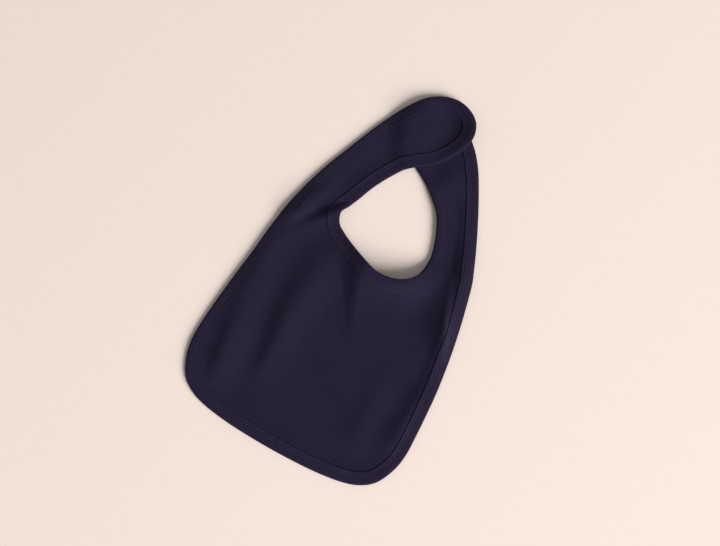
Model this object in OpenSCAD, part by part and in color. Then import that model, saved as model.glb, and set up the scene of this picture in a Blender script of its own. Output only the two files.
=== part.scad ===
// Baby bib of two knit plies with a folded edge binding and a hook-and-loop neck closure.
// It lies on its back: +Y runs from the bottom edge to the neck, +Z is up, and the origin is
// under the middle of the outline, on the surface that the bib rests on.

/* [Outline] */
// Width across the widest part of the body
bib_width = 219; // [200:1:240]
// Length from the bottom edge to the top of the closed straps
bib_length = 360; // [330:1:390]
// How far up the outline both straps fold, from the middle of the length
shoulder_y = 36; // [34:1:40]

/* [Fabric] */
// Thickness of each ply of knit
ply = 0.8; // [0.6:0.1:1]

/* [Edge binding] */
// Width of the binding on each face
binding_width = 11.5; // [9:0.5:13]
// Thickness of the binding's lips
lip = 0.6; // [0.5:0.1:0.8]

/* [Stitching] */
// Distance from the edge to the outer needle row
outer_row = 7.5; // [6:0.5:8]
// Distance from the edge to the inner needle row
inner_row = 10; // [8.5:0.5:10.5]
// Width of a laid thread
thread = 0.5; // [0.4:0.1:0.7]

/* [Closure] */
// Length of both patches along their strap
patch_length = 28; // [22:1:30]
// Width of both patches across their strap
patch_width = 20; // [16:1:22]
// Thickness of each patch
patch_thickness = 0.9; // [0.7:0.1:1]
// Radius of a patch's corners
patch_corner = 5; // [3:0.5:6]
// Distance from a patch's edge to its sewing line
patch_seam = 2; // [1.5:0.5:3]

/* [Straps] */
// Angle at which the lower strap rises from the shoulder
lower_strap_rise = 1.5; // [1:0.1:2]
// Angle at which the top strap rises to lie over the lower one
top_strap_rise = 4.3; // [4.3:0.1:5]

/* [Hidden] */

// Colours
navy = [0.17, 0.145, 0.215];
navy_binding = [0.19, 0.16, 0.235];
navy_thread = [0.22, 0.19, 0.27];
navy_tape = [0.13, 0.11, 0.17];

// The outline is one closed curve, as the binding runs: round the tab, down the left side,
// along the bottom, up the right side, round the lower strap's end and back along the neck.
// Its points are given for the nominal width and length.
nominal_width = 219;
nominal_length = 360;
tab_points = [
    [-16, 99], [-5, 108], [7, 117], [17, 129], [24, 143], [25.5, 156],
    [21, 168], [11, 176.5], [-3, 180.4], [-17, 177.5], [-31, 168]
];
top_strap_outer_points = [[-45, 149], [-55.5, 129.5], [-64.5, 109], [-73, 88], [-80.6, 69], [-86.5, 51]];
body_outer_points = [
    [-90.5, 36], [-94, 20], [-98, -6], [-100.4, -30], [-103.8, -57], [-106.9, -85],
    [-109, -110], [-109.2, -128], [-106, -144], [-98, -160], [-86, -169.5],
    [-70, -175], [-45, -178.5], [-15, -180], [15, -180], [45, -178.5], [70, -175],
    [86, -169.5], [98, -160], [106, -144], [109.2, -128], [109.2, -108],
    [107.5, -72], [105, -48], [101.5, -24], [97, 0], [92, 22]
];
lower_strap_points = [
    [88.5, 36], [84, 48], [75, 70], [65, 92], [55, 112], [45, 130], [35, 144],
    [25, 154], [15, 162], [3, 167.5], [-10, 168], [-21, 162.5], [-28.5, 152],
    [-30.5, 139], [-27, 126], [-19, 115], [-9, 107], [1, 101], [10, 95], [20, 86.5],
    [30, 76], [38, 60], [42.5, 46]
];
neck_points = [
    [44, 36], [42.5, 22.5], [37, 13], [26, 6], [12, 3.5], [0, 5.5], [-20, 13.5],
    [-36, 21.5], [-43.5, 27]
];
top_strap_inner_points = [[-47, 36], [-43.5, 45], [-39, 56], [-34, 69], [-28, 81], [-22, 91]];

// Pieces of the curve between two neighbouring points
spline_steps = 4;
// Gap between two bodies where they meet at a fold
fold_gap = 0.3;
// How many curve samples a strip runs past a fold before it is trimmed there
overrun = 3;
// How far the panels' raised rims reach in from the binding's lips
rim_step = 1.5;
// Middle of each patch, and how far its length is turned from +X
hook_patch_at = [-5, 146];
hook_patch_turn = 30;
loop_patch_at = [1, 137];
loop_patch_turn = 143;
// Larger than the whole bib
far = 500;

points = [
    for (p = concat(tab_points, top_strap_outer_points, body_outer_points,
                    lower_strap_points, neck_points, top_strap_inner_points))
        [p.x * bib_width / nominal_width, p.y * bib_length / nominal_length]
];

// Samples at which the outline crosses a fold
tab_inner = 0;
tab_outer = len(tab_points) * spline_steps;
left_outer = tab_outer + len(top_strap_outer_points) * spline_steps;
right_outer = left_outer + len(body_outer_points) * spline_steps;
right_inner = right_outer + len(lower_strap_points) * spline_steps;
left_inner = right_inner + len(neck_points) * spline_steps;
samples = len(points) * spline_steps;

// Heights through the edge: lower lip, back ply, front ply, upper lip, then the needle threads
edge_height = 2 * lip + 2 * ply;
thread_height = 0.3;
top_height = edge_height + thread_height;

// A point of a Catmull-Rom curve between b and c
function blend_point(a, b, c, d, t) =
    0.5 * (2 * b + (c - a) * t + (2 * a - 5 * b + 4 * c - d) * t * t + (3 * b - a - 3 * c + d) * t * t * t);

function point_at(i) =
    let (n = len(points), k = floor(i / spline_steps), t = i / spline_steps - k)
    blend_point(points[(k + n - 1) % n], points[k % n], points[(k + 1) % n], points[(k + 2) % n], t);

outline = [for (i = [0:samples - 1]) point_at(i)];

function along(i) =
    let (d = outline[(i + 1) % samples] - outline[(i + samples - 1) % samples])
    d / norm(d);

// The outline moved into the fabric by a distance
function inset_point(i, distance) =
    let (k = (i + samples) % samples, t = along(k))
    outline[k] + distance * [-t.y, t.x];

function stretch(from, to, distance) =
    [for (i = [from - overrun:to + overrun]) inset_point(i, distance)];

function reversed(list) = [for (i = [len(list) - 1:-1:0]) list[i]];

// A strip of the outline between two distances from the edge and two heights
module strip(from, to, near_edge, inside, z0, z1) {
    translate([0, 0, z0])
        linear_extrude(z1 - z0)
            polygon(concat(stretch(from, to, near_edge), reversed(stretch(from, to, inside))));
}

// Everything inside one or two stretches of the outline, at one inset
module sheet(stretches, distance, z0, z1) {
    translate([0, 0, z0])
        linear_extrude(z1 - z0)
            polygon([for (s = stretches) each stretch(s[0], s[1], distance)]);
}

BODY = [[left_outer, right_outer], [right_inner, left_inner]];
TOP_STRAP = [[tab_outer, left_outer], [left_inner, samples]];
TAB = [[tab_inner, tab_outer]];
LOWER_STRAP = [[right_outer, right_inner]];

// Keeps what is below the shoulder line
module body_side() {
    difference() {
        children();
        translate([-far, shoulder_y - fold_gap / 2, -far]) cube([2 * far, far, 2 * far]);
    }
}

// Keeps what is above the shoulder line
module strap_side() {
    difference() {
        children();
        translate([-far, shoulder_y + fold_gap / 2 - far, -far]) cube([2 * far, far, 2 * far]);
    }
}

// The tab's fold runs from the neck edge to the outer edge of the top strap
fold_start = outline[tab_inner];
fold_end = outline[tab_outer];
fold_angle = atan2(fold_end.y - fold_start.y, fold_end.x - fold_start.x);

// Keeps what is between the tab's fold and the shoulder
module before_tab_fold() {
    difference() {
        children();
        translate(fold_start) rotate(fold_angle)
            translate([-far, -fold_gap / 2 - far, -far]) cube([2 * far, far + fold_gap, 2 * far]);
    }
}

// Keeps what is beyond the tab's fold
module beyond_tab_fold() {
    difference() {
        children();
        translate(fold_start) rotate(fold_angle)
            translate([-far, -fold_gap / 2, -far]) cube([2 * far, far, 2 * far]);
    }
}

// Tips a strap up about the top of the shoulder line
module rise(angle) {
    translate([0, shoulder_y, top_height]) rotate([angle, 0, 0])
        translate([0, -shoulder_y, -top_height]) children();
}

// Back ply: it lies flat and climbs onto the binding's lower lip at the rim
module back_ply(stretches) {
    sheet(stretches, binding_width, 0, ply);
    difference() {
        sheet(stretches, ply, lip, lip + ply);
        sheet(stretches, binding_width + rim_step, 0, edge_height);
    }
}

// Front ply: it lies on the back ply and climbs with it
module front_ply(stretches) {
    sheet(stretches, binding_width + rim_step, ply, 2 * ply);
    difference() {
        sheet(stretches, ply, lip + ply, lip + 2 * ply);
        sheet(stretches, binding_width + 2 * rim_step, 0, edge_height);
    }
}

// Folded tape: a lip on each face, joined round the raw edge of both plies
module binding(from, to) {
    difference() {
        union() {
            strip(from, to, 0, binding_width, 0, lip);
            strip(from, to, 0, binding_width, lip + 2 * ply, edge_height);
            strip(from, to, 0, ply, 0, edge_height);
        }
        looper_thread(from, to);
    }
}

// Two needle rows on the upper lip
module needle_threads(from, to) {
    for (row = [outer_row, inner_row])
        strip(from, to, row - thread / 2, row + thread / 2, edge_height, edge_height + thread_height);
}

// Looper thread, sunk into the underside of the lower lip between the needle rows
module looper_thread(from, to) {
    strip(from, to, outer_row - thread / 2, inner_row + thread / 2, 0, thread_height);
}

// Rounded patch, standing on z = 0
module patch(grow, height) {
    l = patch_length / 2 - patch_corner;
    w = patch_width / 2 - patch_corner;
    linear_extrude(height)
        union() {
            for (x = [-l, l], y = [-w, w])
                translate([x, y]) circle(patch_corner + grow, $fn = 32);
            square([2 * l, patch_width + 2 * grow], center = true);
            square([patch_length + 2 * grow, 2 * w], center = true);
        }
}

module patch_seam_ring(height) {
    difference() {
        patch(-patch_seam, height);
        translate([0, 0, -height]) patch(-patch_seam - thread, 3 * height);
    }
}

// The patches lie on the middle of each strap's end
module on_tab() {
    translate(hook_patch_at) rotate(hook_patch_turn) children();
}

module on_lower_strap() {
    translate(loop_patch_at) rotate(loop_patch_turn) children();
}

module front_panel() {
    color(navy) body_side() front_ply(BODY);
}

module back_panel() {
    color(navy) body_side() back_ply(BODY);
}

module outer_binding() {
    color(navy_binding) body_side() binding(left_outer, right_outer);
}

module neck_binding() {
    color(navy_binding) body_side() binding(right_inner, left_inner);
}

module body_needle_threads() {
    color(navy_thread) body_side() {
        needle_threads(left_outer, right_outer);
        needle_threads(right_inner, left_inner);
    }
}

module body_looper_thread() {
    color(navy_thread) body_side() {
        looper_thread(left_outer, right_outer);
        looper_thread(right_inner, left_inner);
    }
}

module top_strap() {
    rise(top_strap_rise) before_tab_fold() strap_side() children();
}

module top_strap_front() {
    color(navy) top_strap() front_ply(TOP_STRAP);
}

module top_strap_back() {
    color(navy) top_strap() back_ply(TOP_STRAP);
}

module top_strap_outer_binding() {
    color(navy_binding) top_strap() binding(tab_outer, left_outer);
}

module top_strap_neck_binding() {
    color(navy_binding) top_strap() binding(left_inner, samples);
}

module top_strap_needle_threads() {
    color(navy_thread) top_strap() {
        needle_threads(tab_outer, left_outer);
        needle_threads(left_inner, samples);
    }
}

module top_strap_looper_thread() {
    color(navy_thread) top_strap() {
        looper_thread(tab_outer, left_outer);
        looper_thread(left_inner, samples);
    }
}

module tab() {
    rise(top_strap_rise) beyond_tab_fold() children();
}

module tab_front() {
    color(navy) tab() front_ply(TAB);
}

module tab_back() {
    color(navy) tab() back_ply(TAB);
}

module tab_binding() {
    color(navy_binding) tab() binding(tab_inner, tab_outer);
}

module tab_needle_threads() {
    color(navy_thread) tab() needle_threads(tab_inner, tab_outer);
}

module tab_looper_thread() {
    color(navy_thread) tab() looper_thread(tab_inner, tab_outer);
}

// Hook patch under the tab, with its seam sunk into the face that grips
module hook_patch() {
    color(navy_tape) tab() translate([0, 0, -patch_thickness]) on_tab()
        difference() {
            patch(0, patch_thickness);
            translate([0, 0, -thread_height]) patch_seam_ring(2 * thread_height);
        }
}

module hook_patch_stitches() {
    color(navy_thread) tab() translate([0, 0, -patch_thickness]) on_tab()
        patch_seam_ring(thread_height);
}

module lower_strap() {
    rise(lower_strap_rise) strap_side() children();
}

module lower_strap_front() {
    color(navy) lower_strap() front_ply(LOWER_STRAP);
}

module lower_strap_back() {
    color(navy) lower_strap() back_ply(LOWER_STRAP);
}

module lower_strap_binding() {
    color(navy_binding) lower_strap() binding(right_outer, right_inner);
}

module lower_strap_needle_threads() {
    color(navy_thread) lower_strap() needle_threads(right_outer, right_inner);
}

module lower_strap_looper_thread() {
    color(navy_thread) lower_strap() looper_thread(right_outer, right_inner);
}

// Loop patch on the lower strap, with its seam sunk into its upper face
module loop_patch() {
    color(navy_tape) lower_strap() translate([0, 0, 2 * ply]) on_lower_strap()
        difference() {
            patch(0, patch_thickness);
            translate([0, 0, patch_thickness - thread_height]) patch_seam_ring(2 * thread_height);
        }
}

module loop_patch_stitches() {
    color(navy_thread) lower_strap() translate([0, 0, 2 * ply + patch_thickness - thread_height])
        on_lower_strap() patch_seam_ring(thread_height);
}

front_panel();
back_panel();
outer_binding();
neck_binding();
body_needle_threads();
body_looper_thread();
top_strap_front();
top_strap_back();
top_strap_outer_binding();
top_strap_neck_binding();
top_strap_needle_threads();
top_strap_looper_thread();
tab_front();
tab_back();
tab_binding();
tab_needle_threads();
tab_looper_thread();
hook_patch();
hook_patch_stitches();
lower_strap_front();
lower_strap_back();
lower_strap_binding();
lower_strap_needle_threads();
lower_strap_looper_thread();
loop_patch();
loop_patch_stitches();
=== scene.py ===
"""Knit baby bib with a folded edge binding, lying on its back with its neck straps closed.

Lengths in this script are millimetres until a mesh is made; MM turns them into metres.
Every piece is made flat, as the bib is cut, at a height above or below the middle of the cloth.
`place` then carries it onto the bib's relief, so plies, binding and threads stay together.
"""

import math

import bpy
import numpy as np
from mathutils import Matrix, Vector
from mathutils.geometry import delaunay_2d_cdt


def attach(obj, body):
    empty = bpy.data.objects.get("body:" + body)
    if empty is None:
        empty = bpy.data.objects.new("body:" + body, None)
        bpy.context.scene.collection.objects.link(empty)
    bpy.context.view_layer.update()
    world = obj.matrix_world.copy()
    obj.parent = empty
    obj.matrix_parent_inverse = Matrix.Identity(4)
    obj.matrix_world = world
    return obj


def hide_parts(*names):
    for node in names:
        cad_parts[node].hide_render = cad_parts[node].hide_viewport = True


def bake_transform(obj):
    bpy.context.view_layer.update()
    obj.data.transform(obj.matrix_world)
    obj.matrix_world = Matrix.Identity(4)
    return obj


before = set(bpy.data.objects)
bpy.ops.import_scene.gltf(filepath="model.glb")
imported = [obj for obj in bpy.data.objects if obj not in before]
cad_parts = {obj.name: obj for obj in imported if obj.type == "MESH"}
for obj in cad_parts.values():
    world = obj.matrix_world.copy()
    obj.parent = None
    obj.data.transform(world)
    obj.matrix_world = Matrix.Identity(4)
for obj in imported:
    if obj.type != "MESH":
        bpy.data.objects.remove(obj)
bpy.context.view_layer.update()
MM = 0.001

# --- Outline -----------------------------------------------------------------------------
# The binding's path: round the tab, down the left side, along the bottom, up the right side,
# round the lower strap's end and back along the neck. Its points are those of part.scad.

TAB = [(-16, 99), (-5, 108), (7, 117), (17, 129), (24, 143), (25.5, 156),
       (21, 168), (11, 176.5), (-3, 180.4), (-17, 177.5), (-31, 168)]
TOP_STRAP_OUTER = [(-45, 149), (-55.5, 129.5), (-64.5, 109), (-73, 88), (-80.6, 69), (-86.5, 51)]
BODY_OUTER = [(-90.5, 36), (-94, 20), (-98, -6), (-100.4, -30), (-103.8, -57), (-106.9, -85),
              (-109, -110), (-109.2, -128), (-106, -144), (-98, -160), (-86, -169.5),
              (-70, -175), (-45, -178.5), (-15, -180), (15, -180), (45, -178.5), (70, -175),
              (86, -169.5), (98, -160), (106, -144), (109.2, -128), (109.2, -108),
              (107.5, -72), (105, -48), (101.5, -24), (97, 0), (92, 22)]
LOWER_STRAP = [(88.5, 36), (84, 48), (75, 70), (65, 92), (55, 112), (45, 130), (35, 144),
               (25, 154), (15, 162), (3, 167.5), (-10, 168), (-21, 162.5), (-28.5, 152),
               (-30.5, 139), (-27, 126), (-19, 115), (-9, 107), (1, 101), (10, 95), (20, 86.5),
               (30, 76), (38, 60), (42.5, 46)]
NECK = [(44, 36), (42.5, 22.5), (37, 13), (26, 6), (12, 3.5), (0, 5.5), (-20, 13.5),
        (-36, 21.5), (-43.5, 27)]
TOP_STRAP_INNER = [(-47, 36), (-43.5, 45), (-39, 56), (-34, 69), (-28, 81), (-22, 91)]

BINDING_WIDTH = 11.5
STATION = 0.5  # distance between the outline's stations
FAR = 1e9


def catmull_rom(points, steps, closed=False):
    """A smooth curve through the points, with steps pieces between two neighbours."""
    p = np.asarray(points, float)
    n = len(p)
    spans = n if closed else n - 1
    pick = (lambda i: p[i % n]) if closed else (lambda i: p[min(max(i, 0), n - 1)])
    out = []
    for k in range(spans):
        a, b, c, d = pick(k - 1), pick(k), pick(k + 1), pick(k + 2)
        for t in np.arange(steps) / steps:
            out.append(0.5 * (2 * b + (c - a) * t + (2 * a - 5 * b + 4 * c - d) * t * t
                              + (3 * b - a - 3 * c + d) * t ** 3))
    if not closed:
        out.append(p[-1])
    return np.array(out)


def smooth_ring(values, passes):
    """Values round a closed ring, evened out with their neighbours."""
    for _ in range(passes):
        values = (np.roll(values, 1, 0) + 2 * values + np.roll(values, -1, 0)) / 4
    return values


class Outline:
    """The closed edge of the bib, at even stations, with its direction and its inward side."""

    def __init__(self):
        knots = TAB + TOP_STRAP_OUTER + BODY_OUTER + LOWER_STRAP + NECK + TOP_STRAP_INNER
        steps = 40  # fine points between two knots
        fine = catmull_rom(knots, steps, closed=True)
        reach = np.linalg.norm(np.roll(fine, -1, 0) - fine, axis=1)
        travelled = np.concatenate([[0], np.cumsum(reach)])
        self.length = travelled[-1]
        self.count = int(round(self.length / STATION))
        self.at = np.arange(self.count) * self.length / self.count
        ring = np.vstack([fine, fine[:1]])
        self.points = np.stack([np.interp(self.at, travelled, ring[:, k]) for k in (0, 1)], 1)
        ahead = np.roll(self.points, -2, 0) - np.roll(self.points, 2, 0)
        ahead = smooth_ring(ahead, 8)
        self.along = ahead / np.linalg.norm(ahead, axis=1)[:, None]
        self.inward = np.stack([-self.along[:, 1], self.along[:, 0]], 1)
        # where the shoulders' ends are, as distances round the outline
        strap_knots = len(TAB) + len(TOP_STRAP_OUTER)
        knots_before = np.cumsum([strap_knots, len(BODY_OUTER), len(LOWER_STRAP), len(NECK)])
        names = ("left_outer", "right_outer", "right_inner", "left_inner")
        self.cut = {name: travelled[k * steps] for name, k in zip(names, knots_before)}
        # which strap a station belongs to: -1 the top strap, 1 the lower strap, 0 the body
        self.strap = np.zeros(self.count, int)
        self.strap[(self.at < self.cut["left_outer"]) | (self.at > self.cut["left_inner"])] = -1
        self.strap[(self.at > self.cut["right_outer"]) & (self.at < self.cut["right_inner"])] = 1

    def nearest(self, x, y, low=0.0, high=None):
        """How far round the outline the station nearest to a point is, between low and high."""
        high = self.length if high is None else high
        gap = np.hypot(self.points[:, 0] - x, self.points[:, 1] - y)
        gap[(self.at < low) | (self.at > high)] = FAR
        return self.at[int(gap.argmin())]

    def inset(self, s, distance):
        """Points at s round the outline, moved inward by a distance."""
        s = np.asarray(s, float) % self.length
        out = []
        for k in (0, 1):
            base = np.interp(s, self.at, self.points[:, k], period=self.length)
            turn = np.interp(s, self.at, self.inward[:, k], period=self.length)
            out.append(base + distance * turn)
        return np.stack(out, -1)


OUTLINE = Outline()


def smoothstep(low, high, x):
    """An even rise from 0 at low to 1 at high."""
    t = np.clip((x - low) / (high - low), 0, 1)
    return t * t * (3 - 2 * t)


def inside(polygon, points):
    """Which points are inside a polygon."""
    x, y = points[:, 0], points[:, 1]
    result = np.zeros(len(points), bool)
    a = polygon
    b = np.roll(polygon, -1, 0)
    for (x1, y1), (x2, y2) in zip(a, b):
        if y1 == y2:
            continue
        crosses = ((y1 > y) != (y2 > y)) & (x < (x2 - x1) * (y - y1) / (y2 - y1) + x1)
        result ^= crosses
    return result


# --- Relief ------------------------------------------------------------------------------
# The height of the middle of the cloth over the resting surface, as a sum of features. Each
# follows a path of (x, y, height) points. A fold falls away on both sides of its path; a bank
# rises on the left of its path and falls away more slowly beyond.

FLAT_MIDDLE = 0.9  # inside the binding the cloth lies on the surface
RIM_MIDDLE = 1.8  # at the binding its lower lip is under it
RIM_EASE = 10  # how far inside the binding the cloth comes down
OVERLAP_LIFT = 3.9  # how much higher the top strap lies where the lower strap is under it
OVERLAP_EDGE, OVERLAP_EASE = 1, 22  # beyond the lower strap, where that lift begins to end and ends
OVERLAP_LOW_Y, OVERLAP_HIGH_Y = 40, 80  # and over which part of the strap it comes in

FOLDS = [
    # points of (x, y, height, how far the fold reaches on the left and on the right of travel)
    # the left side of the panel
    [(-84, 10, 2, 16, 9), (-87, -20, 3, 16, 9), (-86, -50, 4, 17, 10), (-84, -75, 5, 17, 12),
     (-80, -105, 6, 16, 12), (-76, -135, 5, 14, 10), (-70, -160, 0, 14, 10)],
    # down the panel from the left of the neck
    [(-34, 14, 0, 14, 18), (-39, -16, 4.5, 16, 20), (-42, -50, 6.5, 18, 17),
     (-42, -80, 6.5, 17, 13), (-40, -108, 4.5, 15, 10), (-39, -140, 0, 12, 8)],
    # the crest that meets the right binding below the shoulder
    [(68, 32, 1, 4, 12), (74.5, 12.6, 3, 4, 12), (79.5, -2, 4.5, 4, 14), (85.5, -16, 4.5, 4, 14),
     (92, -29, 3, 4, 12), (97, -44, 0, 4, 10)],
    # the left shoulder
    [(-60, 64, 0, 10, 10), (-68, 50, 3, 10, 10), (-76, 34, 5, 10, 9), (-84, 18, 4, 9, 8),
     (-90, 0, 0, 9, 8)],
    # two soft swells in the lower right of the panel
    [(96, -60, 0, 8, 12), (94, -85, 2.5, 8, 12), (92, -120, 3, 8, 12), (86, -145, 0, 8, 12)],
    [(58, -60, 0, 13, 13), (61, -95, 2, 13, 13), (64, -130, 2, 13, 13), (62, -150, 0, 13, 13)],
    # along the inner line of the right binding
    [(36, 112, 0, 9, 9), (52, 90, 1.5, 10, 11), (64, 69, 3, 10, 11), (73, 51, 4.8, 10, 10),
     (79.5, 32, 5.5, 10, 9), (84, 12, 5, 10, 8), (88, -12, 3.5, 10, 7), (93, -40, 1.8, 10, 7),
     (96.5, -75, 1, 10, 8), (97.5, -115, 0.8, 10, 9), (92, -150, 0, 10, 9)],
    # the panel's long slope up to the right binding
    [(62, 40, 0, 8, 30), (76, 14, 2.5, 8, 40), (86, -14, 4, 8, 50), (92, -40, 3, 8, 50),
     (96, -70, 0, 8, 40)],
]
BANKS = [
    # points of (x, y, height, how far the rise takes, how far the fall takes)
    # the wedge under the neck
    [(-38, 10, 0, 26, 45), (-28, 2, 7.5, 26, 45), (-21, -12, 9, 23, 45), (-11, -28, 6.5, 17, 42),
     (-1, -43, 3, 12, 40), (5, -58, 1, 12, 40), (10, -75, 0, 12, 40)],
    # the crease from the neck to the left edge
    [(-42, 52, 0, 9, 18), (-51, 45, 6, 10, 18), (-62, 35, 7, 11, 18), (-73, 22, 6, 12, 18),
     (-84, 6, 3, 12, 18), (-91, -12, 0, 10, 18)],
]
# single folds: the neck's rim, the lower strap's inner edge, its bulge beside the tab, the
# plateau over the hook patch and the tab's curled rim
NECK_RISE = [(40, 62, 1, 20, 20), (44, 50, 1, 20, 20), (44, 36, 1, 20, 20), (43, 25, 4.5, 20, 20),
             (37, 13, 10.5, 20, 20), (24, 5, 11, 20, 20), (8, 4, 8.5, 20, 20),
             (-12, 10, 6, 20, 20), (-30, 18, 4, 20, 20), (-46, 30, 1.5, 20, 20)]
LOWER_STRAP_RISE = [(42, 52, 0, 12, 12), (30, 76, 1.5, 12, 12), (20, 87, 2, 12, 12),
                    (10, 95, 1, 12, 12), (0, 101, 0, 12, 12)]
LOWER_STRAP_BULGE = [(33, 124, 0, 14, 10), (29, 113, 3, 14, 12), (26, 104, 3.5, 14, 12),
                     (25, 94, 0, 14, 10)]
TAB_PLATEAU = [(-18, 170, 0, 28, 14), (-24, 158, 2, 28, 14), (-27, 143, 3.2, 28, 14),
               (-27, 128, 3, 26, 12), (-26, 112, 0, 20, 10)]
TAB_RISE = [(-4, 109, 0, 11, 11), (7, 117, 1.5, 11, 11), (17, 129, 4, 11, 11),
            (24, 143, 6, 12, 12), (25.5, 156, 6.5, 12, 12), (21, 168, 6, 12, 12),
            (11, 176.5, 4, 12, 12), (-3, 180.4, 1.5, 11, 11), (-16, 178, 0, 11, 11)]


def along_path(x, y, path):
    """The path's three values nearest to each point, and the distance: positive on its left."""
    line = catmull_rom(path, 10)
    q = np.stack([x.ravel(), y.ravel()], 1)
    best = np.full(len(q), FAR)
    values = np.zeros((len(q), 3))
    side = np.zeros(len(q))
    for a, b in zip(line[:-1], line[1:]):
        d = b[:2] - a[:2]
        t = np.clip(((q - a[:2]) @ d) / (d @ d), 0, 1)
        off = q - a[:2] - t[:, None] * d
        gap = np.hypot(off[:, 0], off[:, 1])
        closer = gap < best
        best[closer] = gap[closer]
        values[closer] = (a[2:] + t[:, None] * (b[2:] - a[2:]))[closer]
        side[closer] = np.where(d[0] * off[:, 1] - d[1] * off[:, 0] > 0, 1, -1)[closer]
    return *(values[:, k].reshape(x.shape) for k in range(3)), (best * side).reshape(x.shape)


def fold(x, y, path):
    """Height that falls away on both sides of a path."""
    top, left, right, gap = along_path(x, y, path)
    return top * np.exp(-((gap / np.where(gap > 0, left, right)) ** 2))


def bank(x, y, path):
    """Height that rises on the left of a path and falls away beyond."""
    top, rise, fall, gap = along_path(x, y, path)
    return top * smoothstep(0, rise, gap) * np.exp(-((np.maximum(gap, 0) / fall) ** 2))


def edge_distance(x, y, own):
    """Distance from the points x, y to the outline's stations in own, every fourth of them."""
    best = np.full(x.shape, FAR)
    for p in OUTLINE.points[own][::4]:
        best = np.minimum(best, (x - p[0]) ** 2 + (y - p[1]) ** 2)
    return np.sqrt(best)


def relief(x, y, strap):
    """Height of the cloth's middle: strap -1 is the left half and top strap, 1 the right half."""
    gap = edge_distance(x, y, (OUTLINE.strap == 0) | (OUTLINE.strap == strap))
    rim = 1 - smoothstep(BINDING_WIDTH, BINDING_WIDTH + RIM_EASE, gap)
    z = FLAT_MIDDLE + (RIM_MIDDLE - FLAT_MIDDLE) * rim
    for path in FOLDS + [NECK_RISE]:
        z = z + fold(x, y, path)
    for path in BANKS:
        z = z + bank(x, y, path)
    if strap > 0:
        return z + fold(x, y, LOWER_STRAP_RISE) + fold(x, y, LOWER_STRAP_BULGE)
    under = OUTLINE.strap == 1
    beyond = edge_distance(x, y, under)
    over = inside(OUTLINE.points[under], np.stack([x.ravel(), y.ravel()], 1)).reshape(x.shape)
    beyond = np.where(over, -beyond, beyond)
    near = 1 - smoothstep(OVERLAP_EDGE, OVERLAP_EASE, beyond)
    z = z + OVERLAP_LIFT * near * smoothstep(OVERLAP_LOW_Y, OVERLAP_HIGH_Y, y)
    return z + fold(x, y, TAB_RISE) + fold(x, y, TAB_PLATEAU)


class Field:
    """The relief of one half on a grid, with its slopes, read between grid points."""

    def __init__(self, strap):
        self.low = np.array([-125.0, -195.0])
        self.pitch = 1.0
        columns, rows = 251, 391
        gx, gy = np.meshgrid(self.low[0] + np.arange(columns) * self.pitch,
                             self.low[1] + np.arange(rows) * self.pitch, indexing="ij")
        self.z = relief(gx, gy, strap)
        self.dx, self.dy = np.gradient(self.z, self.pitch)

    def read(self, grid, x, y):
        """Values of one of the grids at points, between its own points."""
        fx = (x - self.low[0]) / self.pitch
        fy = (y - self.low[1]) / self.pitch
        i, j = np.floor(fx).astype(int), np.floor(fy).astype(int)
        u, v = fx - i, fy - j
        return ((1 - u) * (1 - v) * grid[i, j] + u * (1 - v) * grid[i + 1, j]
                + (1 - u) * v * grid[i, j + 1] + u * v * grid[i + 1, j + 1])

    def normal(self, x, y):
        """The cloth's upward direction at points."""
        n = np.stack([-self.read(self.dx, x, y), -self.read(self.dy, x, y), np.ones_like(x)], -1)
        return n / np.linalg.norm(n, axis=-1)[..., None]


FIELDS = {-1: Field(-1), 1: Field(1)}


def place(x, y, h, strap):
    """Points of the cut bib, h above the middle of the cloth, carried onto the relief."""
    x, y = np.asarray(x, float), np.asarray(y, float)
    field = FIELDS[strap]
    base = np.stack([x, y, field.read(field.z, x, y)], -1)
    return base + field.normal(x, y) * np.asarray(h, float)[..., None]


# --- Mesh helpers ------------------------------------------------------------------------

PLY = 0.8
PLY_GAP = 0.01  # from the middle of the cloth to each ply


def new_object(name, verts, faces, uv=None, normals=None, smooth=True):
    """A mesh object from points in millimetres."""
    mesh = bpy.data.meshes.new(name)
    mesh.from_pydata((np.asarray(verts) * MM).tolist(), [], [list(map(int, f)) for f in faces])
    mesh.validate()
    if smooth:
        mesh.polygons.foreach_set("use_smooth", [True] * len(mesh.polygons))
    if uv is not None:
        layer = mesh.uv_layers.new(name="Cut")
        corner = np.zeros(len(mesh.loops), np.int32)
        mesh.loops.foreach_get("vertex_index", corner)
        layer.data.foreach_set("uv", (np.asarray(uv)[corner] * MM).ravel())
    mesh.update()
    if normals is not None:
        mesh.normals_split_custom_set_from_vertices(np.asarray(normals).tolist())
    obj = bpy.data.objects.new(name, mesh)
    bpy.context.scene.collection.objects.link(obj)
    return obj


def ring_faces(rings, points):
    """Quads between rings of points, stored ring by ring."""
    out = []
    for i in range(rings - 1):
        for j in range(points):
            k = (j + 1) % points
            out.append((i * points + j, (i + 1) * points + j, (i + 1) * points + k, i * points + k))
    return out


# --- Pieces of the cut bib ---------------------------------------------------------------
# A cloth piece may bend across one joint, so the bib is shown in three: the tab half of the top
# strap, the left half of the body with the rest of that strap, and the right half with the lower
# strap. They meet along two lines.

BOTTOM = OUTLINE.nearest(0, -180)
NECK_BOTTOM = OUTLINE.nearest(0, 5.5, OUTLINE.cut["right_inner"])
STRAP_OUTER = OUTLINE.nearest(-68, 101)
STRAP_INNER = OUTLINE.nearest(-28, 81, OUTLINE.cut["left_inner"])

REGIONS = {
    # name: (strap side, stretches of outline in order)
    "tab": (-1, [(STRAP_INNER - OUTLINE.length, STRAP_OUTER)]),
    "left": (-1, [(STRAP_OUTER, BOTTOM), (NECK_BOTTOM, STRAP_INNER)]),
    "right": (1, [(BOTTOM, NECK_BOTTOM)]),
}


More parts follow.
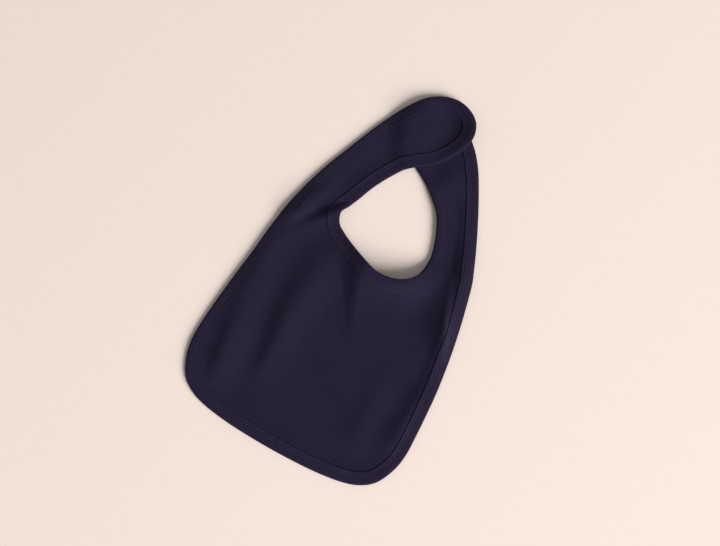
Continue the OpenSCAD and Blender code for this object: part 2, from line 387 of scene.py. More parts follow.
def stations(stretch, spacing):
    """Even places along a stretch of the outline."""
    low, high = stretch
    n = max(2, int(round((high - low) / spacing)) + 1)
    return np.linspace(low, high, n)


def joint_blend(obj):
    """Bakes the piece's placement into its mesh."""
    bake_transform(obj)


def line_points(a, b, spacing):
    """Even points on the line from a to b."""
    n = max(2, int(round(np.linalg.norm(b - a) / spacing)) + 1)
    return a + (b - a) * np.linspace(0, 1, n)[:, None]


def region_outline(region, inset, spacing):
    """The closed boundary of a region at an inset, and the cut lines where regions meet."""
    stretches = REGIONS[region][1]
    runs = [OUTLINE.inset(stations(s, spacing), inset) for s in stretches]
    boundary, cuts = [], []
    for k, run in enumerate(runs):
        following = runs[(k + 1) % len(runs)]
        cut = line_points(run[-1], following[0], spacing)
        cuts.append(cut)
        boundary += [run, cut[1:-1]]
    return np.vstack(boundary), cuts


def distance_to(points, targets):
    """Distance from each point to the nearest target."""
    best = np.full(len(points), FAR)
    for t in targets:
        best = np.minimum(best, (points[:, 0] - t[0]) ** 2 + (points[:, 1] - t[1]) ** 2)
    return np.sqrt(best)


PANEL_INSET = 1.0  # from the bib's edge to the plies' edge, inside the binding
EDGE_ROWS = (3.5, 6.5, 9.0, 10.6, 11.8, 13.2, 15.0)  # rows of points that follow the edge
CLEAR = 0.7  # how near points may come to each other, as a share of their spacing
ROW_STEP = 0.866  # between rows of even triangles, as a share of their side
WELD = 1e-4
FRONT_SPACING, BACK_SPACING = 1.5, 2.2


def panel_grid(region, spacing):
    """Points and triangles that fill a region of the cut bib, rows of them following the edge."""
    boundary, cuts = region_outline(region, PANEL_INSET, spacing)
    cut_points = np.vstack(cuts)
    fill = []
    for inset in EDGE_ROWS:
        for stretch in REGIONS[region][1]:
            ring = OUTLINE.inset(stations(stretch, spacing), inset)
            fill.append(ring[distance_to(ring, cut_points) > spacing * CLEAR])
    low, high = boundary.min(0), boundary.max(0)
    rows = []
    for j, y in enumerate(np.arange(low[1], high[1], spacing * ROW_STEP)):
        x = np.arange(low[0], high[0], spacing) + (spacing / 2 if j % 2 else 0)
        rows.append(np.stack([x, np.full_like(x, y)], 1))
    lattice = np.vstack(rows)
    strap = REGIONS[region][0]
    own = (OUTLINE.strap == 0) | (OUTLINE.strap == strap)
    lattice = lattice[inside(boundary, lattice)]
    edge = OUTLINE.points[own][::3]
    lattice = lattice[distance_to(lattice, edge) > EDGE_ROWS[-1] + spacing * CLEAR]
    lattice = lattice[distance_to(lattice, cut_points) > spacing * CLEAR]
    points = np.vstack([boundary, *fill, lattice])
    ring = list(range(len(boundary)))
    found = delaunay_2d_cdt([Vector(p) for p in points], [], [ring], 1, WELD, False)
    flat = np.array([tuple(v) for v in found[0]])
    faces = np.array(found[2])
    faces = faces[inside(boundary, flat[faces].mean(1))]
    a, b, c = (flat[faces[:, k]] for k in range(3))
    turn = (b[:, 0] - a[:, 0]) * (c[:, 1] - a[:, 1]) - (b[:, 1] - a[:, 1]) * (c[:, 0] - a[:, 0])
    faces[turn < 0] = faces[turn < 0][:, ::-1]
    return flat, faces


def boundary_edges(faces):
    """Directed edges that only one triangle has."""
    edges = np.vstack([faces[:, [0, 1]], faces[:, [1, 2]], faces[:, [2, 0]]])
    key = {tuple(e) for e in edges.tolist()}
    return [e for e in key if (e[1], e[0]) not in key]


def panel(name, region, low, high, spacing):
    """One ply of one region: a closed sheet between two heights over the middle of the cloth."""
    strap = REGIONS[region][0]
    flat, faces = panel_grid(region, spacing)
    n = len(flat)
    x, y = flat[:, 0], flat[:, 1]
    up = FIELDS[strap].normal(x, y)
    top = place(x, y, np.full(n, high), strap)
    bottom = place(x, y, np.full(n, low), strap)
    rim = [(a, a + n, b + n, b) for a, b in boundary_edges(faces)]
    all_faces = faces.tolist() + (faces[:, ::-1] + n).tolist() + rim
    return new_object(name, np.vstack([top, bottom]), all_faces, np.vstack([flat, flat]),
                      np.vstack([up, -up]))


# --- Binding -----------------------------------------------------------------------------

OUTER_ROW, INNER_ROW = 7.5, 10.0
LIP_TOP = [
    # (distance from the edge, height) over the upper lip, from the fold to its turned-in edge
    (0.0, 0.0), (0.12, 0.55), (0.45, 1.05), (1.0, 1.4), (2.0, 1.6), (3.2, 1.68), (4.6, 1.67),
    (5.9, 1.62), (6.8, 1.52), (7.25, 1.4), (7.5, 1.36), (7.75, 1.4), (8.3, 1.52), (8.75, 1.55),
    (9.2, 1.52), (9.75, 1.4), (10.0, 1.36), (10.25, 1.4), (10.7, 1.54), (11.1, 1.58), (11.5, 1.5),
    (11.72, 1.25), (11.62, 0.95), (11.3, 0.84),
]
LIP_INSIDE = [(9.0, 0.84), (5.0, 0.84), (1.6, 0.84), (0.95, 0.5)]
BINDING_STEP = 0.75  # between two sections of the tape
MARGIN = 3  # sections more at each end, to take the tape's normals from
STITCH_PITCH = 3.0
THREAD_RADIUS = 0.2

# unevenness of the tape: (where across the tape, how far it reaches, how high)
PUFF = (3.6, 4.0, 0.16)  # between the edge and the stitches
PULL = (8.75, 2.2, 0.07)  # where each stitch draws the tape down
PUFF_PERIOD, PUFF_SEED = 7.0, 3
WANDER, WANDER_PERIOD, WANDER_SEED = 0.22, 9.0, 5  # of the turned-in edge
WANDER_FROM = 8.5


def lip_profile():
    """The tape's closed section: over the top, under the lip, round the cloth and back below."""
    upper = LIP_TOP[1:] + LIP_INSIDE
    section = [LIP_TOP[0]] + upper + [(0.9, 0.0)] + [(d, -h) for d, h in reversed(upper)]
    return np.array(section)


def lip_height(distance):
    """How high the upper lip is over the middle of the cloth, at a distance from the edge."""
    d, h = np.array(LIP_TOP[:-3]).T
    return np.interp(distance, d, h)


def waves(s, period, seed):
    """A gently uneven wave along the edge, from -1 to 1."""
    rng = np.random.default_rng(seed)
    total = np.zeros_like(s)
    for k in range(5):  # five waves of nearly the same length
        cycles = max(1, round(OUTLINE.length / (period * (0.7 + 0.15 * k))))
        turn = 2 * math.pi * cycles * s / OUTLINE.length
        total += np.sin(turn + rng.uniform(0, 6.28)) / (1 + 0.3 * k)
    return total / 3.0


def binding(name, region, stretch):
    """The folded tape along one stretch of the edge, as a closed tube."""
    strap = REGIONS[region][0]
    s = stations(stretch, BINDING_STEP)
    section = lip_profile()
    step = s[1] - s[0]
    s = np.concatenate([s[0] - step * np.arange(MARGIN, 0, -1), s,
                        s[-1] + step * np.arange(1, MARGIN + 1)])
    d = np.broadcast_to(section[:, 0], (len(s), len(section)))
    h = np.broadcast_to(section[:, 1], (len(s), len(section))).copy()
    at, reach, size = PUFF
    puff = np.clip(1 - np.abs(d - at) / reach, 0, 1)
    h += np.sign(h) * puff * size * waves(s, PUFF_PERIOD, PUFF_SEED)[:, None]
    at, reach, size = PULL
    pull = np.clip(1 - np.abs(d - at) / reach, 0, 1)
    h -= np.sign(h) * pull * size * (1 + np.cos(2 * math.pi * s / STITCH_PITCH))[:, None]
    d = d + (WANDER * waves(s, WANDER_PERIOD, WANDER_SEED)[:, None]
             * smoothstep(WANDER_FROM, BINDING_WIDTH, d))
    base = OUTLINE.inset(s, 0)[:, None, :]
    turn = OUTLINE.inset(s, 1)[:, None, :] - base
    flat = base + turn * d[:, :, None]
    verts = place(flat[..., 0], flat[..., 1], h, strap)
    across = np.roll(verts, -1, 1) - np.roll(verts, 1, 1)
    ahead = np.gradient(verts, axis=0)
    normals = np.cross(across, ahead)
    normals /= np.linalg.norm(normals, axis=-1)[..., None] + 1e-12
    if normals[:, len(LIP_TOP) // 4, 2].mean() < 0:  # the upper lip's have to point up
        normals = -normals
    keep = slice(MARGIN, len(s) - MARGIN)
    verts, normals = verts[keep], normals[keep]
    width = np.concatenate([[0], np.cumsum(np.linalg.norm(np.diff(section, axis=0), axis=1))])
    uv = np.stack([np.broadcast_to(s[keep][:, None], verts.shape[:2]),
                   np.broadcast_to(width[None, :], verts.shape[:2])], -1)
    rows, columns = verts.shape[:2]
    faces = ring_faces(rows, columns)
    last = (rows - 1) * columns
    faces += [tuple(range(columns)), tuple(last + k for k in reversed(range(columns)))]
    return new_object(name, verts.reshape(-1, 3), faces, uv.reshape(-1, 2),
                      normals.reshape(-1, 3))


# --- Stitches ----------------------------------------------------------------------------

STITCH_REACH = 0.44  # half a stitch, as a share of the pitch
NEEDLE_ALONG = np.array([-1.0, -0.8, -0.35, 0.35, 0.8, 1.0])
NEEDLE_LIFT = np.array([-0.35, -0.02, 0.1, 0.1, -0.02, -0.35]) - 0.1
LOOPER_RADIUS = 0.16
LOOPER_STEPS = 6  # to one stitch
LOOPER_GAP, LOOPER_PULL, LOOPER_CROSSING = 0.02, 0.16, 0.06


def tube(path, radius, sides=6):
    """Points, faces and UVs of a round tube along a path of points."""
    path = np.asarray(path, float)
    ahead = np.gradient(path, axis=0)
    ahead /= np.linalg.norm(ahead, axis=1)[:, None] + 1e-12
    up = np.array([0.0, 0.0, 1.0])
    side = np.cross(ahead, up)
    weak = np.linalg.norm(side, axis=1) < 1e-3
    side[weak] = np.array([1.0, 0.0, 0.0])
    side /= np.linalg.norm(side, axis=1)[:, None]
    top = np.cross(side, ahead)
    turn = np.arange(sides) * 2 * math.pi / sides
    radius = np.broadcast_to(np.asarray(radius, float), (len(path),))
    ring = (side[:, None, :] * np.cos(turn)[None, :, None]
            + top[:, None, :] * np.sin(turn)[None, :, None])
    verts = path[:, None, :] + ring * radius[:, None, None]
    faces = ring_faces(len(path), sides)
    last = (len(path) - 1) * sides
    faces += [tuple(reversed(range(sides))), tuple(last + k for k in range(sides))]
    reach = np.concatenate([[0], np.cumsum(np.linalg.norm(np.diff(path, axis=0), axis=1))])
    uv = np.stack([np.repeat(reach, sides), np.tile(turn * THREAD_RADIUS, len(path))], -1)
    return verts.reshape(-1, 3), faces, uv


def join_tubes(name, tubes):
    """One object of many tubes."""
    verts, faces, uvs, start = [], [], [], 0
    for v, f, u in tubes:
        verts.append(v)
        faces += [tuple(start + k for k in face) for face in f]
        uvs.append(u)
        start += len(v)
    return new_object(name, np.vstack(verts), faces, np.vstack(uvs))


def needle_threads(name, region):
    """Two rows of short stitches on the upper lip."""
    strap, stretches = REGIONS[region]
    tubes = []
    for stretch in stretches:
        first = math.ceil(stretch[0] / STITCH_PITCH)
        last = math.floor(stretch[1] / STITCH_PITCH)
        for k in range(first, last):
            middle = (k + 0.5) * STITCH_PITCH
            for row in (OUTER_ROW, INNER_ROW):
                flat = OUTLINE.inset(middle + NEEDLE_ALONG * STITCH_PITCH * STITCH_REACH, row)
                h = lip_height(row) + NEEDLE_LIFT
                path = place(flat[:, 0], flat[:, 1], h, strap)
                tubes.append(tube(path, THREAD_RADIUS))
    return join_tubes(name, tubes)


def looper_thread(name, region):
    """The looper's crossing loops between the needle rows, on the underside."""
    strap, stretches = REGIONS[region]
    tubes = []
    middle = (OUTER_ROW + INNER_ROW) / 2
    under = -(lip_height(middle) + LOOPER_GAP)
    for stretch in stretches:
        for phase in (0.0, 0.5):  # the thread's two runs, which cross between stitches
            s = np.arange(stretch[0], stretch[1], STITCH_PITCH / LOOPER_STEPS)
            turn = s / STITCH_PITCH + phase
            swing = np.abs((turn % 1) * 2 - 1) * 2 - 1
            swing = np.sin(swing * math.pi / 2)
            row = middle + swing * (INNER_ROW - OUTER_ROW) / 2
            base = OUTLINE.inset(s, 0)
            flat = base + (OUTLINE.inset(s, 1) - base) * row[:, None]
            h = under + LOOPER_PULL * np.abs(swing) ** 4 - (LOOPER_CROSSING if phase else 0.0)
            path = place(flat[:, 0], flat[:, 1], h, strap)
            tubes.append(tube(path, LOOPER_RADIUS, sides=5))
    return join_tubes(name, tubes)


# --- Closure patches ---------------------------------------------------------------------

PATCH_LENGTH, PATCH_WIDTH, PATCH_CORNER = 28.0, 20.0, 5.0
PATCH_SEAM = 2.0
SEAM_STITCH = 2.4
SEAM_SHARE = np.array([0.06, 0.14, 0.35, 0.65, 0.86, 0.94])  # places along one stitch
SEAM_LIFT = np.array([-0.25, 0.12, 0.26, 0.26, 0.12, -0.25]) + 0.15
HOOK_PITCH, HOOK_MARGIN = 1.3, 0.8
HOOK_BEND = np.array([(0, 0), (0.02, 0.35), (0.1, 0.6), (0.3, 0.7), (0.48, 0.58), (0.52, 0.42)])
HOOK_RADII = np.array([0.16, 0.13, 0.12, 0.11, 0.1, 0.07])
LOOP_COUNT, LOOP_MARGIN, LOOP_RADIUS, LOOP_SEED = 900, 0.7, 0.06, 11
PILE_ROOT = 0.05  # how far hooks and loops start inside the tape
HOOK_PATCH = {"centre": (-5.0, 146.0), "turn": 30.0, "strap": -1, "face": -1}
LOOP_PATCH = {"centre": (1.0, 137.0), "turn": 143.0, "strap": 1, "face": 1}


def rounded_rectangle(length, width, corner, steps=8):
    """A ring of points round a rectangle whose corners are rounded."""
    points = []
    for cx, cy, start in ((1, 1, 0), (-1, 1, 90), (-1, -1, 180), (1, -1, 270)):
        for k in range(steps + 1):
            a = math.radians(start + 90 * k / steps)
            points.append((cx * (length / 2 - corner) + corner * math.cos(a),
                           cy * (width / 2 - corner) + corner * math.sin(a)))
    return np.array(points)


def on_patch(patch, local, h):
    """Points in a patch's own plane carried onto the cloth, h out from the panel it is sewn to."""
    a = math.radians(patch["turn"])
    local = np.asarray(local, float)
    x = patch["centre"][0] + local[..., 0] * math.cos(a) - local[..., 1] * math.sin(a)
    y = patch["centre"][1] + local[..., 0] * math.sin(a) + local[..., 1] * math.cos(a)
    return place(x, y, patch["face"] * (PLY + np.asarray(h, float)), patch["strap"])


TAPE_THICKNESS = 0.45
TAPE_RINGS = [(0.0, 0.0), (0.0, 0.3)]  # (distance in from the patch's edge, height)
TAPE_RINGS += [(k, TAPE_THICKNESS) for k in (0.25, 1.2, 3.0, 5.0, 7.0, 8.5)]
SMALLEST_CORNER = 0.3


def patch_tape(name, patch):
    """The woven ground of a patch: a thin tape with rounded corners and a soft edge."""
    rings, uvs = [], []
    for inset, h in TAPE_RINGS:
        ring = rounded_rectangle(PATCH_LENGTH - 2 * inset, PATCH_WIDTH - 2 * inset,
                                 max(PATCH_CORNER - inset, SMALLEST_CORNER))
        rings.append(on_patch(patch, ring, np.full(len(ring), h)))
        uvs.append(ring)
    verts = np.vstack(rings)
    columns = len(rings[0])
    faces = ring_faces(len(rings), columns)
    faces.append(tuple((len(rings) - 1) * columns + k for k in range(columns)))
    faces.append(tuple(reversed(range(columns))))
    if patch["face"] < 0:
        faces = [tuple(reversed(f)) for f in faces]
    return new_object(name, verts, faces, np.vstack(uvs), smooth=False)


def hooks(name, patch):
    """Rows of small moulded hooks, each row facing the other way."""
    tubes = []
    field = rounded_rectangle(PATCH_LENGTH - 2 * HOOK_MARGIN, PATCH_WIDTH - 2 * HOOK_MARGIN,
                              PATCH_CORNER - HOOK_MARGIN)
    rows = int((PATCH_WIDTH - 2) / HOOK_PITCH)
    columns = int((PATCH_LENGTH - 2) / HOOK_PITCH)
    for j in range(rows + 1):
        way = 1 if j % 2 else -1
        for i in range(columns + 1):
            x = (i - columns / 2) * HOOK_PITCH + way * HOOK_PITCH / 4
            y = (j - rows / 2) * HOOK_PITCH
            if not inside(field, np.array([[x, y]]))[0]:
                continue
            local = np.stack([x + way * (HOOK_BEND[:, 0] - 0.25), np.full(len(HOOK_BEND), y)], 1)
            path = on_patch(patch, local, TAPE_THICKNESS - PILE_ROOT + HOOK_BEND[:, 1])
            tubes.append(tube(path, HOOK_RADII, sides=5))
    return join_tubes(name, tubes)


def loops(name, patch):
    """A brushed pile of fine loops that lie every way."""
    rng = np.random.default_rng(LOOP_SEED)
    tubes = []
    field = rounded_rectangle(PATCH_LENGTH - 2 * LOOP_MARGIN, PATCH_WIDTH - 2 * LOOP_MARGIN,
                              PATCH_CORNER - LOOP_MARGIN)
    corner = np.array([PATCH_LENGTH / 2, PATCH_WIDTH / 2])
    arc = np.linspace(0, math.pi, 8)
    while len(tubes) < LOOP_COUNT:
        p = rng.uniform(-corner, corner)
        if not inside(field, p[None])[0]:
            continue
        heading, lean = rng.uniform(0, 2 * math.pi), rng.uniform(-0.5, 0.5)
        size, tall = rng.uniform(0.5, 1.0), rng.uniform(0.3, 0.6)
        along = np.array([math.cos(heading), math.sin(heading)])
        across = np.array([-along[1], along[0]])
        local = p + np.outer(np.cos(arc) * size, along) + np.outer(np.sin(arc) * lean, across)
        path = on_patch(patch, local, TAPE_THICKNESS - PILE_ROOT + np.sin(arc) * tall)
        tubes.append(tube(path, LOOP_RADIUS, sides=4))
    return join_tubes(name, tubes)


def patch_seam(name, patch):
    """Lockstitches round a patch, a little inside its edge."""
    ring = rounded_rectangle(PATCH_LENGTH - 2 * PATCH_SEAM, PATCH_WIDTH - 2 * PATCH_SEAM,
                             PATCH_CORNER - PATCH_SEAM + 0.5)
    ring = np.vstack([ring, ring[:1]])
    travelled = np.concatenate([[0], np.cumsum(np.linalg.norm(np.diff(ring, axis=0), axis=1))])
    count = int(travelled[-1] / SEAM_STITCH)
    tubes = []
    for k in range(count):
        s = (k + SEAM_SHARE) * travelled[-1] / count
        local = np.stack([np.interp(s, travelled, ring[:, c]) for c in (0, 1)], 1)
        path = on_patch(patch, local, TAPE_THICKNESS + SEAM_LIFT)
        tubes.append(tube(path, THREAD_RADIUS))
    return join_tubes(name, tubes)


# --- Materials ---------------------------------------------------------------------------

def material(name):
    """A node material, its nodes, its links and its shader."""
    m = bpy.data.materials.new(name)
    m.use_nodes = True
    nodes = m.node_tree.nodes
    return m, nodes, m.node_tree.links, nodes["Principled BSDF"]


def cloth_material(name):
    """The same, and a socket with the place on the cut cloth."""
    parts = material(name)
    uv = parts[1].new("ShaderNodeUVMap")
    uv.uv_map = "Cut"
    return *parts, uv.outputs[0]


def math_node(nodes, links, kind, a, b=None):
    """A Math node on sockets or numbers."""
    node = nodes.new("ShaderNodeMath")
    node.operation = kind
    for socket, value in zip(node.inputs, (a, b)):
        if value is None:
            continue
        if isinstance(value, (int, float)):
            socket.default_value = value
        else:
            links.new(value, socket)
    return node.outputs[0]


WALE, COURSE = 0.9, 0.7  # width of a column of stitches, and height of a row
YARN_WANDER = 0.35
KNIT_DEPTH, TWIST_DEPTH, WEAVE_DEPTH = 0.22, 0.06, 0.08
TWIST_PITCH = 0.55
QUARTER_TURN = math.radians(90)


def bumped(nodes, links, shader, height, strength, depth):
    """Raises the shader's surface by a height socket."""
    raise_up = nodes.new("ShaderNodeBump")
    raise_up.inputs["Strength"].default_value = strength
    raise_up.inputs["Distance"].default_value = depth * MM
    links.new(height, raise_up.inputs["Height"])
    links.new(raise_up.outputs[0], shader.inputs["Normal"])


def noise(nodes, links, vector, scale, detail):
    """A noise texture on a vector socket."""
    node = nodes.new("ShaderNodeTexNoise")
    node.inputs["Scale"].default_value = scale
    node.inputs["Detail"].default_value = detail
    links.new(vector, node.inputs["Vector"])
    return node


def toned(nodes, links, shader, value, dark, light, low=0.0, high=1.0):
    """Colours the shader from dark to light by a value socket."""
    ramp = nodes.new("ShaderNodeValToRGB")
    ramp.color_ramp.elements[0].position = low
    ramp.color_ramp.elements[0].color = (*dark, 1)
    ramp.color_ramp.elements[1].position = high
    ramp.color_ramp.elements[1].color = (*light, 1)
    links.new(value, ramp.inputs[0])
    links.new(ramp.outputs[0], shader.inputs["Base Color"])


def fabric(name, tilt, bump):
    """Fine knit: columns of V-shaped stitches, with painted shade between the yarns, uneven dye,
    lint and a soft sheen.
    """
    m, nodes, links, shader, uv = cloth_material(name)
    turn = nodes.new("ShaderNodeMapping")
    turn.inputs["Rotation"].default_value = (0, 0, tilt)
    links.new(uv, turn.inputs[0])
    wander = noise(nodes, links, turn.outputs[0], 160, 2)
    shift = nodes.new("ShaderNodeVectorMath")
    shift.operation = "SCALE"
    shift.inputs["Scale"].default_value = YARN_WANDER * MM
    links.new(wander.outputs["Color"], shift.inputs[0])
    add = nodes.new("ShaderNodeVectorMath")
    add.operation = "ADD"
    links.new(turn.outputs[0], add.inputs[0])
    links.new(shift.outputs[0], add.inputs[1])
    split = nodes.new("ShaderNodeSeparateXYZ")
    links.new(add.outputs[0], split.inputs[0])
    u = math_node(nodes, links, "DIVIDE", split.outputs["X"], WALE * MM)
    v = math_node(nodes, links, "DIVIDE", split.outputs["Y"], COURSE * MM)
    column = math_node(nodes, links, "FRACT", u)
    off = math_node(nodes, links, "ABSOLUTE", math_node(nodes, links, "SUBTRACT", column, 0.5))
    leg = math_node(nodes, links, "SINE", math_node(nodes, links, "MULTIPLY", off, 2 * math.pi))
    slant = math_node(nodes, links, "ADD", v, math_node(nodes, links, "MULTIPLY", off, 1.6))
    yarn = math_node(nodes, links, "SINE", math_node(nodes, links, "MULTIPLY", slant, 2 * math.pi))
    yarn = math_node(nodes, links, "MULTIPLY_ADD", yarn, 0.35)
    yarn.node.inputs[2].default_value = 0.65
    stitch = math_node(nodes, links, "MULTIPLY", leg, yarn)

    lint = noise(nodes, links, uv, 900, 3).outputs[0]
    lint_height = math_node(nodes, links, "MULTIPLY", lint, 0.5)
    height = math_node(nodes, links, "ADD", stitch, lint_height)
    bumped(nodes, links, shader, height, bump, KNIT_DEPTH)

    # the colour is lighter on the yarn legs and darker where the stitch height is low: painted
    # shade between the yarns, mixed with uneven dye and lint as real tone
    dye = noise(nodes, links, uv, 28, 4).outputs[0]
    painted_shade_dye_and_lint = math_node(nodes, links, "MULTIPLY", stitch, 0.45)
    for part, weight in ((dye, 0.4), (lint, 0.3)):
        weighed = math_node(nodes, links, "MULTIPLY", part, weight)
        painted_shade_dye_and_lint = math_node(nodes, links, "ADD", painted_shade_dye_and_lint, weighed)
    toned(nodes, links, shader, painted_shade_dye_and_lint, NAVY, NAVY_LIGHT, 0.15, 0.95)
    shader.inputs["Roughness"].default_value = 0.92
    shader.inputs["Specular IOR Level"].default_value = 0.12
    shader.inputs["Sheen Weight"].default_value = 0.12
    shader.inputs["Sheen Roughness"].default_value = 0.55
    shader.inputs["Sheen Tint"].default_value = (0.55, 0.5, 0.8, 1)
    return m


def thread_material(name, colour):
    """Two-ply spun thread: a slanted twist along its length, with painted shade in the grooves
    between the plies.
    """
    m, nodes, links, shader, uv = cloth_material(name)
    split = nodes.new("ShaderNodeSeparateXYZ")
    links.new(uv, split.inputs[0])
    half_round = THREAD_RADIUS * math.pi
    along = math_node(nodes, links, "DIVIDE", split.outputs["X"], TWIST_PITCH * MM)
    round_it = math_node(nodes, links, "DIVIDE", split.outputs["Y"], half_round * MM)
    twist = math_node(nodes, links, "ADD", along, round_it)
    ply = math_node(nodes, links, "SINE", math_node(nodes, links, "MULTIPLY", twist, 2 * math.pi))
    # the colour follows the twist's height: painted shade, darker in the grooves between the plies
    painted_twist_shade = math_node(nodes, links, "MULTIPLY_ADD", ply, 0.5)
    painted_twist_shade.node.inputs[2].default_value = 0.5
    toned(nodes, links, shader, painted_twist_shade, [c * 0.6 for c in colour], colour, 0.0, 0.7)
    bumped(nodes, links, shader, ply, 0.5, TWIST_DEPTH)
    shader.inputs["Roughness"].default_value = 0.6
    shader.inputs["Specular IOR Level"].default_value = 0.3
    shader.inputs["Sheen Weight"].default_value = 0.2
    shader.inputs["Sheen Roughness"].default_value = 0.4
    return m


def tape_material(name, colour, roughness):
    """Woven nylon ground, or the moulded hooks and loops on it, with painted shade in the weave and
    random grain.
    """
    m, nodes, links, shader, uv = cloth_material(name)
    weave = nodes.new("ShaderNodeTexChecker")
    weave.inputs["Scale"].default_value = 2500
    links.new(uv, weave.inputs["Vector"])
    grain = noise(nodes, links, uv, 500, 3)
    mixed = math_node(nodes, links, "ADD", weave.outputs[1], grain.outputs[0])
    # the colour is lighter on the raised checks of the weave and darker on the low ones: painted
    # shade, mixed with random grain
    painted_weave_shade_and_grain = math_node(nodes, links, "MULTIPLY", mixed, 0.5)
    toned(nodes, links, shader, painted_weave_shade_and_grain, [c * 0.6 for c in colour], [c * 1.5 for c in colour])
    bumped(nodes, links, shader, mixed, 0.4, WEAVE_DEPTH)
    shader.inputs["Roughness"].default_value = roughness
    shader.inputs["Specular IOR Level"].default_value = 0.4
    return m


NAVY = (0.0068, 0.0045, 0.0160)
NAVY_LIGHT = (0.0160, 0.0113, 0.0345)
KNIT = fabric("navy_interlock", 0.0, 0.25)
BINDING = fabric("navy_binding_knit", QUARTER_TURN, 0.3)
THREAD = thread_material("navy_thread", (0.018, 0.013, 0.034))
TAPE = tape_material("navy_tape", (0.012, 0.011, 0.022), 0.6)
HOOKS = tape_material("navy_hooks", (0.020, 0.018, 0.034), 0.4)
LOOPS = tape_material("navy_loops", (0.024, 0.021, 0.042), 0.7)


def finish_piece(obj, mat, replaces=()):
    """The piece's material and the nodes it is shown in place of."""
    obj.data.materials.append(mat)
    if replaces:
        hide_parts(*replaces)


# --- Assembly ----------------------------------------------------------------------------

STOOD_FOR = {
    # kind of piece: the nodes it stands for in each region
    "front": {"tab": ["tab_front"], "left": ["top_strap_front"],
              "right": ["front_panel", "lower_strap_front"]},
    "back": {"tab": ["tab_back"], "left": ["top_strap_back"],
             "right": ["back_panel", "lower_strap_back"]},
    "needle": {"tab": ["tab_needle_threads"], "left": ["top_strap_needle_threads"],
               "right": ["body_needle_threads", "lower_strap_needle_threads"]},
    "looper": {"tab": ["tab_looper_thread"], "left": ["top_strap_looper_thread"],
               "right": ["body_looper_thread", "lower_strap_looper_thread"]},
}
BINDINGS = {
    # piece: (region, which stretch, nodes it stands for)
    "tab_edge_binding": ("tab", 0, ["tab_binding"]),
    "left_edge_binding": ("left", 0, ["top_strap_outer_binding"]),
    "left_neck_binding": ("left", 1, ["top_strap_neck_binding", "neck_binding"]),
    "right_edge_binding": ("right", 0, ["outer_binding", "lower_strap_binding"]),
}


def build():
    """Every piece of the bib, with its material and its nodes; the closure patches are attached to
    their bodies.
    """
    plies, tapes, on_ply = {}, [], {}
    for region in REGIONS:
        front = panel(f"{region}_front_ply", region, PLY_GAP, PLY, FRONT_SPACING)
        finish_piece(front, KNIT, STOOD_FOR["front"][region])
        back = panel(f"{region}_back_ply", region, -PLY, -PLY_GAP, BACK_SPACING)
        finish_piece(back, KNIT, STOOD_FOR["back"][region])
        needles = needle_threads(f"{region}_needle_stitches", region)
        finish_piece(needles, THREAD, STOOD_FOR["needle"][region])
        looper = looper_thread(f"{region}_looper_stitches", region)
        finish_piece(looper, THREAD, STOOD_FOR["looper"][region])
        plies[region] = (front, back)
        on_ply[front.name], on_ply[back.name] = [needles], [looper]
        for piece in (front, back, needles, looper):
            joint_blend(piece)
    for name, (region, k, nodes) in BINDINGS.items():
        stretch = REGIONS[region][1][k]
        tape = binding(name, region, stretch)
        finish_piece(tape, BINDING, nodes)
        joint_blend(tape)
        tapes.append((tape, stretch[1] - stretch[0], plies[region]))
        for ply in plies[region]:
            on_ply[ply.name].append(tape)
    closures = (
        ("hook", HOOK_PATCH, hooks, HOOKS, "hook_tape", "tab", plies["tab"][1]),
        ("loop", LOOP_PATCH, loops, LOOPS, "loop_tape", "lower_strap", plies["right"][0]),
    )
    for kind, patch, pile, pile_material, slot, body, ply in closures:
        tape = patch_tape(f"{kind}_patch_tape", patch)
        finish_piece(tape, TAPE, [f"{kind}_patch"])
        nap = pile(f"{kind}_patch_pile", patch)
        finish_piece(nap, pile_material)
        seam = patch_seam(f"{kind}_patch_seam", patch)
        finish_piece(seam, THREAD, [f"{kind}_patch_stitches"])
        for piece in (tape, nap, seam):
            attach(piece, body)
            on_ply[ply.name].append(piece)
    return plies, tapes, on_ply


PLIES, TAPES, ON_PLY = build()


def flat_area(obj):
    """Area of the cut cloth in square metres, from the piece's own cut coordinates."""
    mesh = obj.data
    uv = np.zeros(len(mesh.loops) * 2)
    mesh.uv_layers["Cut"].data.foreach_get("uv", uv)
    uv = uv.reshape(-1, 2)
    total = 0.0
    for p in mesh.polygons:
        loop = uv[list(p.loop_indices)]
        nxt = np.roll(loop, -1, 0)
        total += abs((loop[:, 0] * nxt[:, 1] - nxt[:, 0] * loop[:, 1]).sum()) / 2
    return total / 2


def declare_cloth():
    """Works out each ply's cut area and the size of its box, and keeps neither."""
    for front, back in PLIES.values():
        for ply in (front, back):
            corner = np.array([v.co for v in ply.data.vertices])
            width, length = (float(c) for c in (corner.max(0) - corner.min(0))[:2])
            min(flat_area(ply), width * length)


declare_cloth()

# --- Stage -------------------------------------------------------------------------------


FLOOR_HALF, FLOOR_DROP = 3.0, 0.0002  # metres, as are the light's and the camera's places
FLOOR_COLOUR = (0.80, 0.70, 0.645, 1)
SKY_COLOUR, SKY_STRENGTH = (1.0, 0.98, 0.97, 1), 0.32
WINDOW_HEADING, WINDOW_HEIGHT, WINDOW_AWAY = math.radians(-14), math.radians(30), 8.0
WINDOW_SIZE, WINDOW_POWER, WINDOW_COLOUR = 5.4, 1130, (1.0, 0.98, 0.95)
CAMERA_AT = (0.04866, -0.10137, 0.903)
CAMERA_TURN, CAMERA_TIP = math.radians(29), math.radians(7.06)


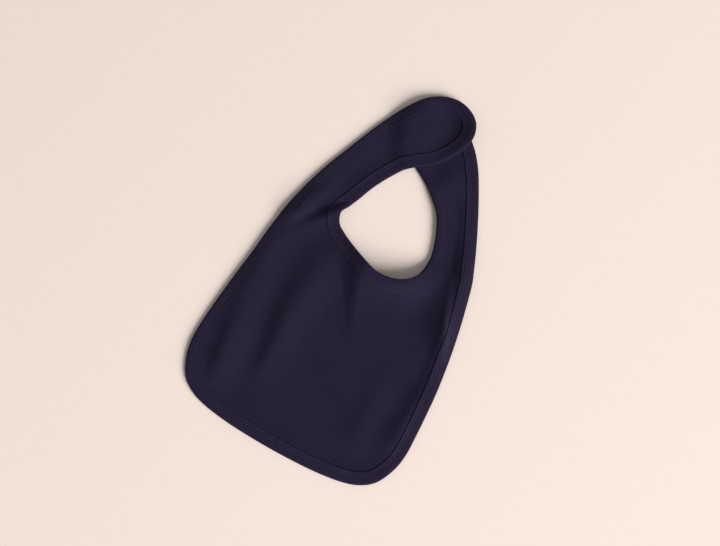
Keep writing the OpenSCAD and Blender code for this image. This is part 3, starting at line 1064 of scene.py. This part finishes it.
def disk_light(name, place_at, aim, size, power, colour):
    """A round light that faces aim."""
    data = bpy.data.lights.new(name, "AREA")
    data.shape = "DISK"
    data.size = size
    data.energy = power
    data.color = colour
    light = bpy.data.objects.new(name, data)
    light.location = place_at
    light.rotation_euler = (Vector(aim) - Vector(place_at)).to_track_quat("-Z", "Y").to_euler()
    bpy.context.scene.collection.objects.link(light)


def stage():
    """The pale floor, the sky and the window."""
    mesh = bpy.data.meshes.new("floor")
    corners = [(x * FLOOR_HALF, y * FLOOR_HALF, 0) for x, y in ((-1, -1), (1, -1), (1, 1), (-1, 1))]
    mesh.from_pydata(corners, [], [(0, 1, 2, 3)])
    floor = bpy.data.objects.new("floor", mesh)
    floor.location = (0, 0, -FLOOR_DROP)
    bpy.context.scene.collection.objects.link(floor)
    pale, _, _, shader = material("pale_floor")
    shader.inputs["Base Color"].default_value = FLOOR_COLOUR
    shader.inputs["Roughness"].default_value = 0.85
    shader.inputs["Specular IOR Level"].default_value = 0.1
    mesh.materials.append(pale)

    world = bpy.data.worlds.new("soft_daylight")
    bpy.context.scene.world = world
    world.use_nodes = True
    background = world.node_tree.nodes["Background"]
    background.inputs[0].default_value = SKY_COLOUR
    background.inputs[1].default_value = SKY_STRENGTH
    spot = (WINDOW_AWAY * math.cos(WINDOW_HEADING) * math.cos(WINDOW_HEIGHT),
            WINDOW_AWAY * math.sin(WINDOW_HEADING) * math.cos(WINDOW_HEIGHT),
            WINDOW_AWAY * math.sin(WINDOW_HEIGHT))
    disk_light("window", spot, (0, 0, 0), WINDOW_SIZE, WINDOW_POWER, WINDOW_COLOUR)


def camera():
    """Above the bib and a little off its axis, looking down."""
    turn, tip = CAMERA_TURN, CAMERA_TIP
    data = bpy.data.cameras.new("camera")
    data.lens = 50
    data.sensor_width = 36
    cam = bpy.data.objects.new("camera", data)
    right = Vector((math.cos(turn), math.sin(turn), 0))
    level = Vector((-math.sin(turn), math.cos(turn), 0))
    ahead = math.sin(tip) * level - Vector((0, 0, math.cos(tip)))
    up = right.cross(ahead)
    facing = Matrix((right, up, -ahead)).transposed().to_4x4()
    cam.matrix_world = Matrix.Translation(CAMERA_AT) @ facing
    bpy.context.scene.collection.objects.link(cam)
    bpy.context.scene.camera = cam


stage()
camera()
bpy.context.scene.view_settings.view_transform = "Standard"
